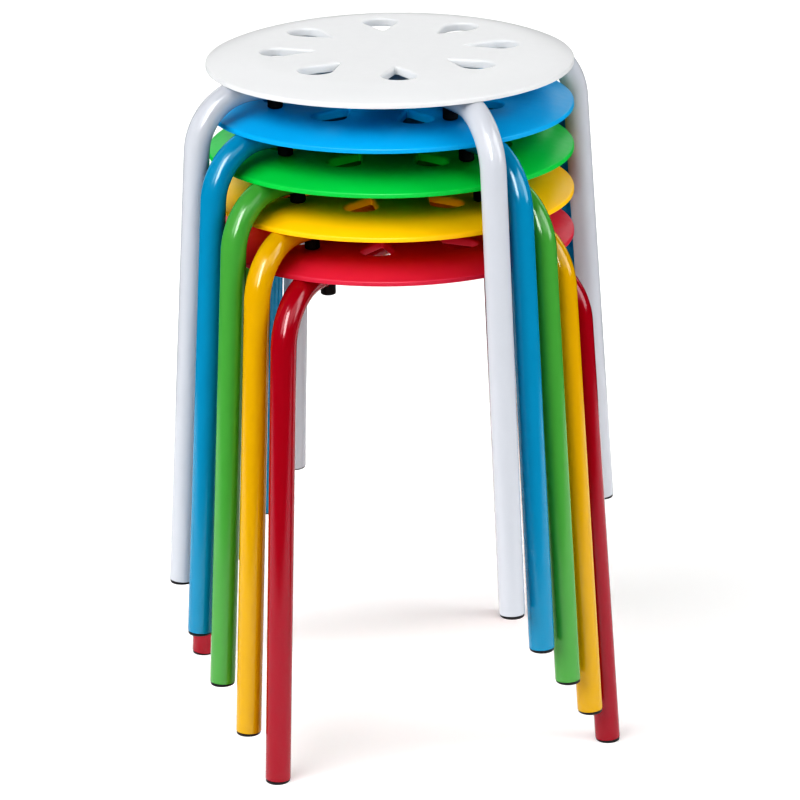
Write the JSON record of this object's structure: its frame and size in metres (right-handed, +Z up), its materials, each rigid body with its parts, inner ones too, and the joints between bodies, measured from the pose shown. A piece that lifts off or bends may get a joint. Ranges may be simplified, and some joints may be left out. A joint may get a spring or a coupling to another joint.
{
  "type": "stacking stool",
  "caption": "Nest of round stacking stools, each a moulded seat with teardrop holes on two crossed bent steel tubes, turned a little from one to the next.",
  "frame": {"origin": "on the floor, in the middle under the nest", "axes": "+Z up through the middle of the seats; +Y away from the viewer of the picture and +X to the viewer's right"},
  "size_m": [0.3938, 0.3938, 0.6038],
  "materials": {
    "red_seat_plastic": "moulded plastic, smooth with a soft sheen",
    "red_frame_paint": "powder-coated steel tube, glossy with a fine orange peel",
    "yellow_seat_plastic": "moulded plastic, smooth with a soft sheen",
    "yellow_frame_paint": "powder-coated steel tube, glossy with a fine orange peel",
    "green_seat_plastic": "moulded plastic, smooth with a soft sheen",
    "green_frame_paint": "powder-coated steel tube, glossy with a fine orange peel",
    "blue_seat_plastic": "moulded plastic, smooth with a soft sheen",
    "blue_frame_paint": "powder-coated steel tube, glossy with a fine orange peel",
    "white_seat_plastic": "moulded plastic, smooth with a soft sheen",
    "white_frame_paint": "powder-coated steel tube, glossy with a fine orange peel",
    "black_plastic": "moulded, satin",
    "black_rubber": "soft and dull"
  },
  "bodies": {
    "red_stool": {"red_seat": "red_seat_plastic", "red_lower_tube": "red_frame_paint", "red_upper_tube": "red_frame_paint", "red_pad_front_left": "black_rubber", "red_foot_front_left": "black_plastic", "red_pad_front_right": "black_rubber", "red_foot_front_right": "black_plastic", "red_pad_back_right": "black_rubber", "red_foot_back_right": "black_plastic", "red_pad_back_left": "black_rubber", "red_foot_back_left": "black_plastic"},
    "yellow_stool": {"yellow_seat": "yellow_seat_plastic", "yellow_lower_tube": "yellow_frame_paint", "yellow_upper_tube": "yellow_frame_paint", "yellow_pad_front_left": "black_rubber", "yellow_foot_front_left": "black_plastic", "yellow_pad_front_right": "black_rubber", "yellow_foot_front_right": "black_plastic", "yellow_pad_back_right": "black_rubber", "yellow_foot_back_right": "black_plastic", "yellow_pad_back_left": "black_rubber", "yellow_foot_back_left": "black_plastic"},
    "green_stool": {"green_seat": "green_seat_plastic", "green_lower_tube": "green_frame_paint", "green_upper_tube": "green_frame_paint", "green_pad_front_left": "black_rubber", "green_foot_front_left": "black_plastic", "green_pad_front_right": "black_rubber", "green_foot_front_right": "black_plastic", "green_pad_back_right": "black_rubber", "green_foot_back_right": "black_plastic", "green_pad_back_left": "black_rubber", "green_foot_back_left": "black_plastic"},
    "blue_stool": {"blue_seat": "blue_seat_plastic", "blue_lower_tube": "blue_frame_paint", "blue_upper_tube": "blue_frame_paint", "blue_pad_front_left": "black_rubber", "blue_foot_front_left": "black_plastic", "blue_pad_front_right": "black_rubber", "blue_foot_front_right": "black_plastic", "blue_pad_back_right": "black_rubber", "blue_foot_back_right": "black_plastic", "blue_pad_back_left": "black_rubber", "blue_foot_back_left": "black_plastic"},
    "white_stool": {"white_seat": "white_seat_plastic", "white_lower_tube": "white_frame_paint", "white_upper_tube": "white_frame_paint", "white_pad_front_left": "black_rubber", "white_foot_front_left": "black_plastic", "white_pad_front_right": "black_rubber", "white_foot_front_right": "black_plastic", "white_pad_back_right": "black_rubber", "white_foot_back_right": "black_plastic", "white_pad_back_left": "black_rubber", "white_foot_back_left": "black_plastic"}
  },
  "joints": [
    {"name": "yellow_lift", "type": "slide", "parent": "red_stool", "child": "yellow_stool", "axis": [0, 0, 1], "range_m": [0, 0.433]},
    {"name": "green_lift", "type": "slide", "parent": "yellow_stool", "child": "green_stool", "axis": [0, 0, 1], "range_m": [0, 0.433]},
    {"name": "blue_lift", "type": "slide", "parent": "green_stool", "child": "blue_stool", "axis": [0, 0, 1], "range_m": [0, 0.433]},
    {"name": "white_lift", "type": "slide", "parent": "blue_stool", "child": "white_stool", "axis": [0, 0, 1], "range_m": [0, 0.433]}
  ]
}
